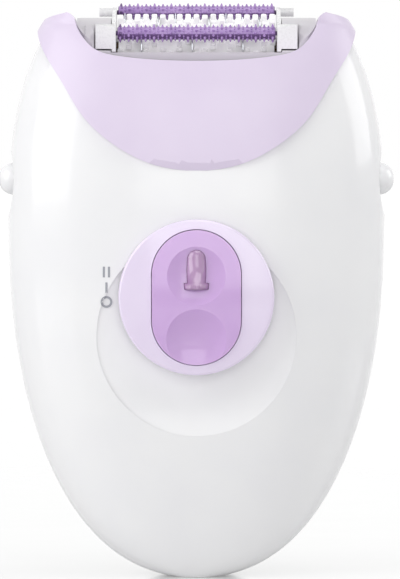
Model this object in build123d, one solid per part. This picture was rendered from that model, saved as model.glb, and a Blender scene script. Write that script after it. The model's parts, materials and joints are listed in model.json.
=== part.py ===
"""A hand-held mains epilator.

An egg-shaped handle with a slide switch, two release buttons and a lift-off head that holds a motor-driven
tweezer drum between two studded massage rollers.

Millimetres. +Z is up, the front faces -Y, and the origin is the middle of the flat foot.
"""

from build123d import *
import os
from math import cos, pi, radians, sin

# ---- driving dimensions: handle ----
body_half_width = 37.6
body_half_depth = 20.5
widest_z = 71.0
housing_top_z = 106.5
rim_z = 101.0
section_power = 2.5
lower_width_reach, lower_depth_reach = 71.4, 75.0
upper_width_reach, upper_depth_reach = 52.5, 44.0
wall = 1.8
seam_half_gap = 0.03

# ---- collar ----
collar_proud = 0.9
collar_flare = 1.0
collar_fit = 0.05
collar_bottom_z, collar_dip_z, collar_top_z = 81.0, 102.6, 112.3

# ---- thumb dish and switch ----
dish_radius = 19.7
dish_z = 48.4
dish_floor_y = -17.5
dish_level_radius = 647.0
dish_upright_radius = 134.0
dish_lean = 4.1
dish_back_y = -15.2
switch_z = 56.2
switch_radius = 15.3
switch_proud = 3.0
switch_dome_radius = 90.0
switch_edge_round = 0.7
switch_travel = 6.0
switch_clearance = 0.25
window_width, window_height = 17.8, 26.8
window_fit = 0.16
window_floor_y = -21.3
window_proud = 0.5
thumb_scoop_radius, thumb_scoop_sink, thumb_scoop_z = 17.0, 1.7, 46.6
lamp_scoop_radius, lamp_scoop_sink, lamp_scoop_z = 17.0, 1.3, 61.2
lamp_radius, lamp_flange_radius = 2.2, 2.8
lamp_y = -21.6
lamp_bottom_z, lamp_shoulder_z = 57.8, 64.0
lamp_fit = 0.08
stem_width, stem_height = 8.0, 5.0
stem_z = 50.4
slot_clearance = 0.25
carrier_half_width, carrier_height, carrier_thickness = 9.0, 12.0, 1.2

# ---- release buttons ----
button_z = 79.2
button_reach = 39.4
button_half_depth, button_half_height = 4.1, 3.2
button_travel = 1.5
button_clearance = 0.15
button_nose_round = 2.9
grip_groove_radius = 22.0
grip_groove_x = 36.3
pad_inner_x, pad_radius = 34.1, 8.5
flange_thickness = 1.4
spring_radius, spring_wire_radius, spring_turns = 2.1, 0.2, 5

# ---- head ----
drive_y = 1.5
drum_z = 105.1
head_half_width, head_half_depth = 23.8, 10.6
head_bottom_z, head_lip_z, head_top_z = 95.8, 104.3, 111.3
head_fit = 0.35
seat_gap = 0.1
seat_thickness, seat_wall = 1.6, 1.7
seat_fit = 0.05
cheek_inner_x = 17.0
cover_thickness = 1.6
trough_radius = 7.8
head_corner_radius = 5.0
leg_y, leg_half_depth, leg_bottom_z = 5.5, 1.2, 86.6

# ---- massage rollers ----
roller_half_length = 15.7
roller_core_radius, roller_tip_radius = 1.25, 1.82
roller_rings, studs_per_ring = 19, 8
stud_width = 0.8
roller_pitch = 1.68
front_roller_y, front_roller_z = drive_y - 8.8, 108.1
rear_roller_y, rear_roller_z = drive_y + 5.6, 112.45
journal_radius, journal_reach = 0.45, 17.4
side_plate_x, side_plate_thickness = 16.0, 0.8
end_block_x, end_block_top_z = 20.0, 109.9
frame_front_y, frame_rear_y, frame_low_z = -9.1, 11.3, 104.45
stub_radius, stub_x = 0.85, 19.5

# ---- tweezers ----
disc_thickness = 1.15
disc_radius, disc_root_radius = 7.0, 5.4
fingers_per_disc = 9
finger_width = 2.2
blade_thickness, blade_radius = 0.2, 7.15
blades_per_gap = 3

# ---- drive ----
gear_module = 0.5
gear_width = 3.0
gear_x = 20.0
drum_teeth, idler_teeth, drive_teeth = 18, 22, 24
pinion_teeth, crown_teeth = 10, 36
backlash = 0.12
crown_face_half = 0.8
crown_tooth_width = 0.46
shaft_radius = 1.0
axle_radius = 1.5
running_gap = 0.04
bush_wall = 1.0

# ---- motor and chassis ----
motor_radius, motor_flat_half = 12.0, 9.2
motor_length = 30.0
can_wall = 1.0
rotor_radius = 6.4
deck_thickness = 2.0
deck_half_width, deck_half_depth = 28.0, 11.4
shaft_post_half_depth, shaft_post_width, shaft_post_top = 3.2, 3.0, 3.4
shaft_post_places = (-14.5, 12.5)
screw_radius, screw_head_radius = 1.1, 2.1
boss_radius = 3.2
upper_boss_x, upper_boss_z = 25.5, 61.0
lower_boss_x, lower_boss_z = 14.0, 22.0
ear_half_thickness, ear_half_width = 1.5, 3.2

# ---- circuit board ----
board_half_width, board_bottom_z, board_top_z = 14.0, 30.0, 68.0
board_front_y, board_thickness = -13.0, 1.2
lead_radius = 0.55

# ---- power inlet ----
inlet_half_width, inlet_half_depth = 4.7, 2.9
inlet_wall = 0.6
inlet_mouth_z, inlet_recess = 0.4, 7.5
inlet_floor = 3.0
inlet_fit = 0.05
inlet_pin_radius, inlet_pin_spacing, inlet_pin_length = 0.8, 4.4, 5.2
inlet_pin_round, inlet_shank_radius = 0.3, 1.0

# ---- places worked out from the sizes above ----
idler_z = drum_z - gear_module * (drum_teeth + idler_teeth) / 2
drive_z = idler_z - gear_module * (idler_teeth + drive_teeth) / 2
crown_radius = gear_module * crown_teeth / 2
pinion_radius = gear_module * pinion_teeth / 2
pinion_z = drive_z - crown_radius
deck_top_z = pinion_z - 2.6
deck_z = deck_top_z - deck_thickness
motor_z = deck_z - motor_length
seat_top_z = head_bottom_z - seat_gap
seat_z = seat_top_z - seat_thickness
cover_x = head_half_width - cover_thickness
well_half_width = head_half_width + head_fit
disc_front_y = -body_half_depth - switch_proud
inlet_floor_z = inlet_mouth_z + inlet_recess
board_back_y = board_front_y + board_thickness


def half_width(z):
    """Half the handle's width at height z."""
    if z < widest_z:
        return body_half_width * (1 - ((widest_z - z) / lower_width_reach) ** 2.2) ** (1 / 2.3)
    return body_half_width * (1 - ((z - widest_z) / upper_width_reach) ** 2.5) ** (1 / 2.5)


def half_depth(z):
    """Half the handle's depth at height z."""
    if z < widest_z:
        return body_half_depth * (1 - ((widest_z - z) / lower_depth_reach) ** 2.2) ** (1 / 2.3)
    return body_half_depth * (1 - ((z - widest_z) / upper_depth_reach) ** 2.4) ** (1 / 2.3)


def outline(a, b, z, steps=32):
    """A closed smooth outline of half sizes a and b at height z."""
    points = []
    for i in range(steps):
        t = 2 * pi * i / steps
        x = a * abs(cos(t)) ** (2 / section_power) * (1 if cos(t) >= 0 else -1)
        y = b * abs(sin(t)) ** (2 / section_power) * (1 if sin(t) >= 0 else -1)
        points.append((x, y, z))
    return Wire(Spline(*points, periodic=True))


def egg(grow, low, high):
    """The handle's volume between two heights, grown by grow all round."""
    between = (0.8, 2.2, 4.5, 8, 13, 20, 30, 42, 56, 71, 84, 93, 100, 104)
    heights = [low] + [z for z in between if low + 0.4 < z < high - 0.4] + [high]
    return Solid.make_loft([outline(half_width(z) + grow, half_depth(z) + grow, z) for z in heights])


def block(x0, x1, y0, y1, z0, z1):
    """A box between two corners."""
    return Solid.make_box(x1 - x0, y1 - y0, z1 - z0, Plane((x0, y0, z0)))


def rod_x(radius, x0, x1, y, z):
    """A cylinder along X."""
    return Solid.make_cylinder(radius, x1 - x0, Plane(origin=(x0, y, z), z_dir=(1, 0, 0)))


def rod_y(radius, y0, y1, x, z):
    """A cylinder along Y."""
    return Solid.make_cylinder(radius, y1 - y0, Plane(origin=(x, y0, z), z_dir=(0, 1, 0)))


def rod_z(radius, z0, z1, x, y):
    """A cylinder along Z."""
    return Solid.make_cylinder(radius, z1 - z0, Plane(origin=(x, y, z0), z_dir=(0, 0, 1)))


def along_x(points, x0, x1):
    """A flat outline of (y, z) points carried along X."""
    wire = Wire.make_polygon([(x0, y, z) for y, z in points], close=True)
    return Solid.extrude(Face(wire), Vector(x1 - x0, 0, 0))


def along_y(points, y0, y1):
    """A flat outline of (x, z) points carried along Y."""
    wire = Wire.make_polygon([(x, y0, z) for x, z in points], close=True)
    return Solid.extrude(Face(wire), Vector(0, y1 - y0, 0))


def mirrored(solid):
    """The same solid on the other side of the middle plane."""
    return solid.mirror(Plane.YZ)


def largest(shape):
    """The biggest solid of a shape, without stray slivers."""
    return max(shape.solids(), key=lambda solid: solid.volume)


def joined(*solids):
    """Several touching solids as one."""
    return solids[0].fuse(*solids[1:]).clean()


def stadium(half_wide, half_high, x, z, y0, y1):
    """An upright stadium in the XZ plane carried along Y."""
    straight = half_high - half_wide
    slab = block(x - half_wide, x + half_wide, y0, y1, z - straight, z + straight)
    return joined(slab, rod_y(half_wide, y0, y1, x, z - straight), rod_y(half_wide, y0, y1, x, z + straight))


def plan(grow, z0, z1):
    """The head's rounded oblong seen from above, grown by grow and carried up Z."""
    long_x, long_y = head_half_width - head_corner_radius, head_half_depth - head_corner_radius
    r = head_corner_radius + grow
    bars = [
        block(-long_x - r, long_x + r, drive_y - long_y, drive_y + long_y, z0, z1),
        block(-long_x, long_x, drive_y - long_y - r, drive_y + long_y + r, z0, z1),
    ]
    corners = [rod_z(r, z0, z1, x, drive_y + y) for x in (-long_x, long_x) for y in (-long_y, long_y)]
    return joined(*bars, *corners)


def stadium_flat(half_wide, half_deep, z0, z1):
    """A lying stadium in the XY plane, about the middle, carried up Z."""
    straight = half_wide - half_deep
    slab = block(-straight, straight, -half_deep, half_deep, z0, z1)
    return joined(slab, rod_z(half_deep, z0, z1, -straight, 0), rod_z(half_deep, z0, z1, straight, 0))


def gear_points(teeth, turned):
    """Points round a spur gear's edge, the first tooth turned from upright by part of a tooth."""
    pitch_r = gear_module * teeth / 2
    tip_r = pitch_r + 0.9 * gear_module
    root_r = pitch_r - 1.2 * gear_module
    half = (pi * gear_module / 2 - backlash) / 2 / pitch_r
    lean = gear_module * 0.36 / pitch_r
    points = []
    for i in range(teeth):
        middle = pi / 2 + 2 * pi * (i + turned) / teeth
        for radius, offset in (
            (root_r, -half - 1.15 * lean),
            (pitch_r, -half),
            (tip_r, -half + 0.95 * lean),
            (tip_r, half - 0.95 * lean),
            (pitch_r, half),
            (root_r, half + 1.15 * lean),
        ):
            points.append((radius * cos(middle + offset), radius * sin(middle + offset)))
    return points


def gear_along_x(teeth, turned, z, bore):
    """A spur gear on a crosswise shaft, with a boss each side."""
    ring = [(drive_y + u, z + v) for u, v in gear_points(teeth, turned)]
    gear = along_x(ring, gear_x - gear_width / 2, gear_x + gear_width / 2)
    return gear - rod_x(bore, gear_x - 5, gear_x + 5, drive_y, z)


# ---- housings ----


def dish_cutter(grow):
    """The round shallow bowl in the front, made smaller by grow."""
    lean = radians(dish_lean)
    ring_radius = dish_level_radius - dish_upright_radius
    centre_y = dish_floor_y - ring_radius - dish_upright_radius * cos(lean)
    centre_z = dish_z - dish_upright_radius * sin(lean)
    bowl = Solid.make_torus(ring_radius, dish_upright_radius - grow, Plane((0, centre_y, centre_z)))
    return rod_y(dish_radius - grow, -26, dish_back_y, 0, dish_z).intersect(bowl).solid()


def housing_blank(grow, low=0.0):
    """The closed outside of the handle, with the low rim where the head drops in."""
    top = housing_top_z + grow
    body = egg(grow, low, top)
    notch_x = 27.5 - grow
    return body - block(-notch_x, notch_x, -40, 40, rim_z + grow, top + 5)


def button_shape(half_deep, half_high, x0, x1):
    """The release button's rounded oval carried along X."""
    straight = half_deep - half_high
    slab = block(x0, x1, -straight, straight, button_z - half_high, button_z + half_high)
    ends = [rod_x(half_high, x0, x1, y, button_z) for y in (-straight, straight)]
    return joined(slab, *ends)


boss_places = [
    (upper_boss_x, upper_boss_z, ear_half_thickness + 0.05),
    (-upper_boss_x, upper_boss_z, ear_half_thickness + 0.05),
    (lower_boss_x, lower_boss_z, seam_half_gap),
    (-lower_boss_x, lower_boss_z, seam_half_gap),
]
board_posts = [(x, z) for x in (-11.5, 11.5) for z in (33.0, 65.0)]

outside = housing_blank(0)
cavity = egg(-wall, 2.0, rim_z - wall)
dish_pad = rod_y(dish_radius + 1.6, -24, dish_back_y, 0, dish_z)
button_pad = rod_x(pad_radius, pad_inner_x, 40, 0, button_z)
inlet_collar = stadium_flat(inlet_half_width + 4.2, inlet_half_depth + 3.2, 0, 11.0)
cavity = cavity - dish_pad - button_pad - mirrored(button_pad) - inlet_collar
shell = outside - cavity - dish_cutter(0)
grip_groove = rod_y(grip_groove_radius, -30, 30, grip_groove_x + grip_groove_radius, button_z)
hole_half_depth, hole_half_height = button_half_depth + button_clearance, button_half_height + button_clearance
button_hole = button_shape(hole_half_depth, hole_half_height, 30, 45)
for cutter in (grip_groove, button_hole):
    shell = shell - cutter - mirrored(cutter)
shell = shell - plan(head_fit + seat_wall + seat_fit, 90, 120)
shell = shell - stadium_flat(inlet_half_width + inlet_fit, inlet_half_depth + inlet_fit, -1, 20)
inlet_foot_x, inlet_foot_y = inlet_half_width + 2.0, inlet_half_depth + 1.6
shell = shell - stadium_flat(inlet_foot_x + inlet_fit, inlet_foot_y + inlet_fit, inlet_floor_z, 20)

front_half = largest(shell.intersect(block(-60, 60, -60, -seam_half_gap, -1, 120)))
rear_half = largest(shell.intersect(block(-60, 60, seam_half_gap, 60, -1, 120)))
boss_limit = egg(-wall / 2, 4.0, rim_z - wall)
for x, z, gap in boss_places:
    front_half = front_half + rod_y(boss_radius, -30, -gap, x, z).intersect(boss_limit).solid()
    rear_half = rear_half + rod_y(boss_radius, gap, 30, x, z).intersect(boss_limit).solid()
    front_half = front_half - rod_y(screw_radius, -11, 5, x, z)
    rear_half = rear_half - rod_y(screw_radius + 0.2, -5, 12, x, z)
    rear_half = rear_half - rod_y(screw_head_radius + 0.3, 8.0, 30, x, z)
for x, z in board_posts:
    front_half = front_half + rod_y(1.6, -16.5, board_front_y, x, z)
    front_half = front_half - rod_y(0.7, -15.0, board_front_y + 1, x, z)
slot_low = stem_z - stem_height / 2 - slot_clearance
slot_high = stem_z + stem_height / 2 + switch_travel + slot_clearance
slot_half = stem_width / 2 + slot_clearance
front_half = front_half - block(-slot_half, slot_half, -30, -10, slot_low, slot_high)

# ---- collar ----


def collar_profile():
    """The collar seen from the front: a deep smile below, a saddle with two horns above."""
    half_smile = [
        (0, collar_bottom_z),
        (9.0, 82.4),
        (17.3, 86.9),
        (22.3, 91.6),
        (26.9, 99.0),
        (30.7, 105.3),
        (31.7, 108.6),
    ]
    right_top = [(31.7, 108.6), (31.0, 110.3), (28.9, 111.5), (25.7, collar_top_z)]
    half_saddle = [
        (25.7, collar_top_z),
        (24.4, 111.3),
        (23.8, 109.7),
        (22.5, 107.3),
        (20.3, 105.1),
        (15.0, 103.5),
        (0, collar_dip_z),
    ]
    left_smile = [(-x, z) for x, z in reversed(half_smile[1:])]
    left_saddle = [(-x, z) for x, z in reversed(half_saddle[:-1])]
    left_top = [(-x, z) for x, z in right_top]
    edges = []
    for points in (left_smile + half_smile, right_top, half_saddle + left_saddle, left_top):
        edges.append(Spline(*[(x, -50, z) for x, z in points]))
    return Face(Wire(edges))


collar_heights = (78, 84, 90, 96, 101, 104.5, 107.5, 110, 112.6)
collar_rings = []
for z in collar_heights:
    flare = collar_proud + collar_flare * min(1, max(0, (z - 100) / 9)) ** 1.5
    depth_z = min(z, 110)
    collar_rings.append(outline(half_width(z) + flare, half_depth(depth_z) + flare, z))
collar = Solid.make_loft(collar_rings)
collar = collar.intersect(Solid.extrude(collar_profile(), Vector(0, 100, 0))).solid()
collar = collar - housing_blank(collar_fit, 60)
collar = collar - plan(head_fit, 80, 120)
collar = largest(collar)

# ---- head seat ----
seat = plan(head_fit + seat_wall, seat_z, rim_z) - plan(head_fit, seat_top_z, rim_z + 5)
leg_slot_half = leg_half_depth + head_fit
for y in (drive_y - leg_y, drive_y + leg_y):
    seat = seat - block(-well_half_width, -cover_x + 0.4, y - leg_slot_half, y + leg_slot_half, 90, 100)
gear_slot_y = leg_y + leg_slot_half
gear_slot_y0, gear_slot_y1 = drive_y - gear_slot_y, drive_y + gear_slot_y
seat = seat - block(cheek_inner_x - 0.4, well_half_width, gear_slot_y0, gear_slot_y1, 90, 100)
seat_screws = [(x, y) for x in (-17.0, 12.5) for y in (drive_y - 8.2, drive_y + 8.2)]
for x, y in seat_screws:
    seat = seat - rod_z(screw_radius + 0.2, 90, 100, x, y)

# ---- chassis: deck, ears for the upper screws, shaft posts, seat posts, button walls ----
deck_y0, deck_y1 = drive_y - deck_half_depth, drive_y + deck_half_depth
deck = block(-deck_half_width, deck_half_width, deck_y0, deck_y1, deck_z, deck_top_z)
for side in (-1, 1):
    ear_x = side * upper_boss_x
    ear_x0, ear_x1 = ear_x - ear_half_width, ear_x + ear_half_width
    ear_low, ear_high = upper_boss_z - ear_half_width, deck_z + 0.5
    ear = block(ear_x0, ear_x1, -ear_half_thickness, ear_half_thickness, ear_low, ear_high)
    deck = deck + ear - rod_y(screw_radius + 0.05, -5, 5, ear_x, upper_boss_z)
post_y0, post_y1 = drive_y - shaft_post_half_depth, drive_y + shaft_post_half_depth
for x in shaft_post_places:
    deck = deck + block(x, x + shaft_post_width, post_y0, post_y1, deck_z, drive_z + shaft_post_top)
    deck = deck - rod_x(shaft_radius + bush_wall, x - 1, x + shaft_post_width + 1, drive_y, drive_z)
for x, y in seat_screws:
    deck = deck + rod_z(2.2, deck_z, seat_z, x, y) - rod_z(0.8, seat_z - 8, seat_z + 1, x, y)
wall_x = deck_half_width - 1.6
button_wall = block(wall_x, deck_half_width, -5.0, 5.0, deck_z, button_z + 5.2)
button_wall = button_wall - rod_x(3.1, wall_x - 1, deck_half_width + 1, 0, button_z)
deck = deck + button_wall + mirrored(button_wall)
deck = deck - rod_z(3.1, deck_z - 1, deck_top_z + 1, 0, drive_y)
motor_screws = [(-8.0, drive_y), (8.0, drive_y)]
for x, y in motor_screws:
    deck = deck - rod_z(screw_radius, deck_z - 1, deck_top_z + 1, x, y)

# ---- motor ----


def motor_body(radius, flat_half, z0, z1):
    """A round motor outline with two flats, carried up Z."""
    flats = block(-radius, radius, drive_y - flat_half, drive_y + flat_half, z0, z1)
    return rod_z(radius, z0, z1, 0, drive_y).intersect(flats).solid()


can = motor_body(motor_radius, motor_flat_half, motor_z + 2.0, deck_z)
can = can - motor_body(motor_radius - can_wall, motor_flat_half - can_wall, motor_z - 1, deck_z - can_wall)
can = can + rod_z(3.0, deck_z - can_wall, deck_z + 1.2, 0, drive_y)
can = can - rod_z(shaft_radius + running_gap, deck_z - 5, deck_z + 5, 0, drive_y)
for x, y in motor_screws:
    can = can - rod_z(0.8, deck_z - 3, deck_z + 1, x, y)
magnet_inner, magnet_outer = rotor_radius + 0.6, motor_radius - can_wall
magnet_low, magnet_high = motor_z + 6.0, deck_z - 5.0
magnets = rod_z(magnet_outer, magnet_low, magnet_high, 0, drive_y) - rod_z(magnet_inner, 0, 90, 0, drive_y)
magnet_left = largest(magnets.intersect(block(-20, -3.0, drive_y - 7.6, drive_y + 7.6, 0, 90)))
magnet_right = mirrored(magnet_left)
end_cap = motor_body(motor_radius, motor_flat_half, motor_z, motor_z + 2.0)
spigot_radius, spigot_flat = motor_radius - can_wall, motor_flat_half - can_wall
end_cap = end_cap + motor_body(spigot_radius, spigot_flat, motor_z + 1.5, motor_z + 4.0)
end_cap = end_cap - motor_body(spigot_radius - 1.2, spigot_flat - 1.2, motor_z + 2.0, motor_z + 5.0)
end_cap = end_cap + rod_z(2.6, motor_z + 1.0, motor_z + 3.6, 0, drive_y)
end_cap = end_cap - rod_z(shaft_radius + running_gap, motor_z + 0.8, motor_z + 5, 0, drive_y)
terminals = []
for side in (-1, 1):
    slot = block(side * 7 - 1.2, side * 7 + 1.2, drive_y - 0.3, drive_y + 0.3, motor_z - 4.0, motor_z + 3.0)
    end_cap = end_cap - slot
    terminals.append(slot)

rotor = rod_z(rotor_radius, magnet_low + 0.5, magnet_high - 0.5, 0, drive_y)
for i in range(5):
    turn = radians(72 * i + 36)
    rotor = rotor - rod_z(1.1, 0, 90, 4.9 * cos(turn), drive_y + 4.9 * sin(turn))
    gap = block(-0.35, 0.35, 4.6, 8.0, 0, 90).rotate(Axis.Z, 72 * i - 54)
    rotor = rotor - gap.translate(Vector(0, drive_y, 0))
windings = []
for low, high in ((magnet_low - 1.0, magnet_low + 0.5), (magnet_high - 0.5, magnet_high + 1.0)):
    windings.append(rod_z(5.6, low, high, 0, drive_y) - rod_z(2.4, 0, 90, 0, drive_y))
commutator = rod_z(2.2, motor_z + 3.9, magnet_low - 1.4, 0, drive_y)
shaft_low, shaft_high = motor_z + 1.0, pinion_z + 2.6
motor_shaft = rod_z(shaft_radius, shaft_low, shaft_high, 0, drive_y)
rotor = largest(rotor + rod_z(2.2, magnet_low - 1.4, magnet_high + 1.2, 0, drive_y))
rotor = rotor - rod_z(shaft_radius, 0, 90, 0, drive_y)
commutator = commutator - rod_z(shaft_radius, 0, 90, 0, drive_y)
for i in range(5):
    slit = block(-0.12, 0.12, 1.8, 3, 0, 90).rotate(Axis.Z, 72 * i).translate(Vector(0, drive_y, 0))
    commutator = commutator - slit

# ---- pinion and crown gear ----
pinion_low, pinion_high = pinion_z - 1.3, pinion_z + 1.5
pinion_ring = [(v, u) for u, v in gear_points(pinion_teeth, 0)]
pinion_wire = Wire.make_polygon([(x, drive_y + y, pinion_low) for x, y in pinion_ring], close=True)
pinion = Solid.extrude(Face(pinion_wire), Vector(0, 0, pinion_high - pinion_low))
pinion = pinion - rod_z(shaft_radius, 0, 90, 0, drive_y)
crown_face_x = pinion_radius + 1.1 * gear_module
crown = rod_x(crown_radius + crown_face_half, crown_face_x, crown_face_x + 1.8, drive_y, drive_z)
crown = crown + rod_x(2.6, crown_face_x, crown_face_x + 4.2, drive_y, drive_z)
tooth_tip_x = pinion_radius - 0.8 * gear_module
tooth_points = [
    (tooth_tip_x, -crown_tooth_width * 0.28),
    (crown_face_x + 0.2, -crown_tooth_width * 0.78),
    (crown_face_x + 0.2, crown_tooth_width * 0.78),
    (tooth_tip_x, crown_tooth_width * 0.28),
]
crown_teeth_solids = []
for i in range(crown_teeth):
    wire = Wire.make_polygon([(x, y, crown_radius - crown_face_half) for x, y in tooth_points], close=True)
    tooth = Solid.extrude(Face(wire), Vector(0, 0, 2 * crown_face_half))
    tooth = tooth.rotate(Axis.X, 360 * (i + 0.5) / crown_teeth)
    crown_teeth_solids.append(tooth.translate(Vector(0, drive_y, drive_z)))
crown = crown.fuse(*crown_teeth_solids)
crown = crown - rod_x(shaft_radius, -5, 20, drive_y, drive_z)
shaft_x, collar_x = shaft_post_places[0] + 0.3, shaft_post_places[0] + shaft_post_width + 0.1
crown_shaft = rod_x(shaft_radius, shaft_x, gear_x + 2.2, drive_y, drive_z)
crown_shaft = crown_shaft + rod_x(shaft_radius + 0.7, collar_x, collar_x + 0.8, drive_y, drive_z)
shaft_bushes = []
for x in shaft_post_places:
    bush = rod_x(shaft_radius + bush_wall, x, x + shaft_post_width, drive_y, drive_z)
    bore = rod_x(shaft_radius + running_gap, x - 1, x + shaft_post_width + 1, drive_y, drive_z)
    shaft_bushes.append(bush - bore)
drive_gear = gear_along_x(drive_teeth, 0, drive_z, shaft_radius)

# ---- head ----
head_y0, head_y1 = drive_y - head_half_depth, drive_y + head_half_depth
head = block(-cover_x, cover_x, head_y0, head_y1, head_bottom_z, head_lip_z)
dome_plane = Plane((0, drive_y, head_lip_z), x_dir=(0, 1, 0), z_dir=(1, 0, 0))
dome_edge = Edge.make_ellipse(head_half_depth, head_top_z - head_lip_z, dome_plane)
dome = Solid.extrude(Face(Wire(dome_edge)), Vector(cover_x, 0, 0))
cheek_dome = dome.intersect(block(cheek_inner_x, 40, -40, 40, head_lip_z - 0.5, 120)).solid()
head = head.fuse(cheek_dome, mirrored(cheek_dome)).intersect(plan(0, 90, 120)).solid()
head = head - rod_x(trough_radius, -cheek_inner_x, cheek_inner_x, drive_y, drum_z)
head = head - block(-cheek_inner_x, cheek_inner_x, drive_y - trough_radius, drive_y + 12, drum_z - 1.2, 120)
block_pocket = block(16, end_block_x + 0.3, -20, front_roller_y + 2.6, head_lip_z + 0.4, 120)
stub_pocket = rod_x(stub_radius + 0.35, 16, 40, rear_roller_y, rear_roller_z)
head = head - block_pocket - mirrored(block_pocket) - stub_pocket - mirrored(stub_pocket)
gear_pocket_x = gear_x - gear_width / 2 - 0.3
tongue = block(cheek_inner_x, cover_x, drive_y - 3.2, drive_y + 3.2, idler_z - 3.0, head_bottom_z + 0.2)
head = head + tongue
gear_pocket = rod_x(gear_module * drum_teeth / 2 + 0.95, gear_pocket_x, 40, drive_y, drum_z)
idler_pocket = rod_x(gear_module * idler_teeth / 2 + 0.9, gear_pocket_x, 40, drive_y, idler_z)
head = head - gear_pocket - idler_pocket
drum_hole = rod_x(axle_radius + bush_wall, -cover_x + 1.6, gear_pocket_x + 0.1, drive_y, drum_z)
head = head - drum_hole
head = head - rod_x(shaft_radius, 0, 40, drive_y, idler_z)

cover = block(cover_x, head_half_width, head_y0, head_y1, head_bottom_z, head_lip_z)
cover_dome = dome.translate(Vector(head_half_width - cover_x, 0, 0))
cover_dome = cover_dome.intersect(block(cover_x, 40, -40, 40, head_lip_z - 0.5, 120)).solid()
cover = cover.fuse(cover_dome).intersect(plan(0, 90, 120)).solid()
leg_x0, leg_x1 = cover_x + 0.1, head_half_width - 0.3
barb_points = [
    (leg_x1 - 0.1, leg_bottom_z + 1.0),
    (leg_x1 + 0.35, leg_bottom_z + 2.2),
    (leg_x1 - 0.1, leg_bottom_z + 3.4),
]
for y in (drive_y - leg_y, drive_y + leg_y):
    leg_y0, leg_y1 = y - leg_half_depth, y + leg_half_depth
    cover = cover + block(leg_x0, leg_x1, leg_y0, leg_y1, leg_bottom_z, head_bottom_z + 0.5)
    cover = cover + along_y(barb_points, leg_y0, leg_y1)
cover_left = mirrored(cover)
cover_tongue = block(cover_x, leg_x1, drive_y - 3.2, drive_y + 3.2, idler_z - 3.0, head_bottom_z + 0.2)
cover_right = cover + cover_tongue - rod_x(shaft_radius, 20, cover_x + 1.0, drive_y, idler_z)
cover_right = cover_right - rod_x(axle_radius + running_gap, 20, cover_x + 1.0, drive_y, drum_z)
axle_left_x = -cover_x + 1.8
drum_bushes = []
for x0, x1 in ((axle_left_x - 0.2, -cheek_inner_x), (cheek_inner_x, gear_pocket_x)):
    bush = rod_x(axle_radius + bush_wall, x0, x1, drive_y, drum_z)
    drum_bushes.append(bush - rod_x(axle_radius + running_gap, x0 - 1, x1 + 1, drive_y, drum_z))
drum_axle = rod_x(axle_radius, axle_left_x, cover_x + 0.8, drive_y, drum_z)
drum_gear = gear_along_x(drum_teeth, 0, drum_z, axle_radius)
idler = gear_along_x(idler_teeth, 0.5, idler_z, shaft_radius + running_gap)
idler_axle = rod_x(shaft_radius, cheek_inner_x + 0.2, cover_x + 0.9, drive_y, idler_z)

# ---- tweezer drum ----


def finger_disc(x, turned):
    """One notched disc of the drum, its fingers turned by an angle."""
    disc = rod_x(disc_radius, x - disc_thickness / 2, x + disc_thickness / 2, drive_y, drum_z)
    notch_half = (2 * pi * disc_radius / fingers_per_disc - finger_width) / 2
    notches = []
    for i in range(fingers_per_disc):
        notch = block(x - 2, x + 2, -notch_half, notch_half, disc_root_radius + 0.3, disc_radius + 1)
        notch = notch.rotate(Axis.X, turned + 360 * i / fingers_per_disc)
        notches.append(notch.translate(Vector(0, drive_y, drum_z)))
    return disc.cut(*notches)


disc_places = [roller_pitch * (i - (roller_rings - 1) / 2) for i in range(roller_rings)]
disc_turns = [(0, 17, 31, 9, 23, 3, 35, 13, 27, 6)[i % 10] for i in range(roller_rings)]
drum = rod_x(disc_root_radius, disc_places[0] - 0.5, disc_places[-1] + 0.5, drive_y, drum_z)
drum = drum.fuse(*[finger_disc(x, turn) for x, turn in zip(disc_places, disc_turns)])
drum = drum - rod_x(axle_radius, -30, 30, drive_y, drum_z)
blade_sets = []
gap_places = [(a + b) / 2 for a, b in zip(disc_places[:-1], disc_places[1:])]
for i in range(0, len(gap_places), 2):
    x = gap_places[i]
    ring = rod_x(blade_radius, x - blade_thickness / 2, x + blade_thickness / 2, drive_y, drum_z)
    ring = ring - rod_x(disc_root_radius, x - 1, x + 1, drive_y, drum_z)
    sweep = block(x - 1, x + 1, -1.6, 1.6, 0, 9)
    for j in range(blades_per_gap):
        cutter = sweep.rotate(Axis.X, 360 * j / blades_per_gap + 40 * i).translate(Vector(0, drive_y, drum_z))
        blade_sets.append(ring.intersect(cutter).solid())

# ---- massage rollers and their frame ----


def studded_roller(y, z):
    """A roller core with rings of pointed studs, each ring turned half a stud from the next."""
    core = rod_x(roller_core_radius, -roller_half_length, roller_half_length, y, z)
    rings = []
    for i, x in enumerate(disc_places):
        star = []
        for j in range(2 * studs_per_ring):
            turn = pi * (j + i % 2) / studs_per_ring
            radius = roller_tip_radius if j % 2 == 0 else roller_core_radius * 0.98
            star.append((y + radius * sin(turn), z + radius * cos(turn)))
        rings.append(along_x(star, x - stud_width / 2, x + stud_width / 2))
    journal = rod_x(journal_radius, -journal_reach, journal_reach, y, z)
    return core.fuse(*rings, journal)


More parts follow.
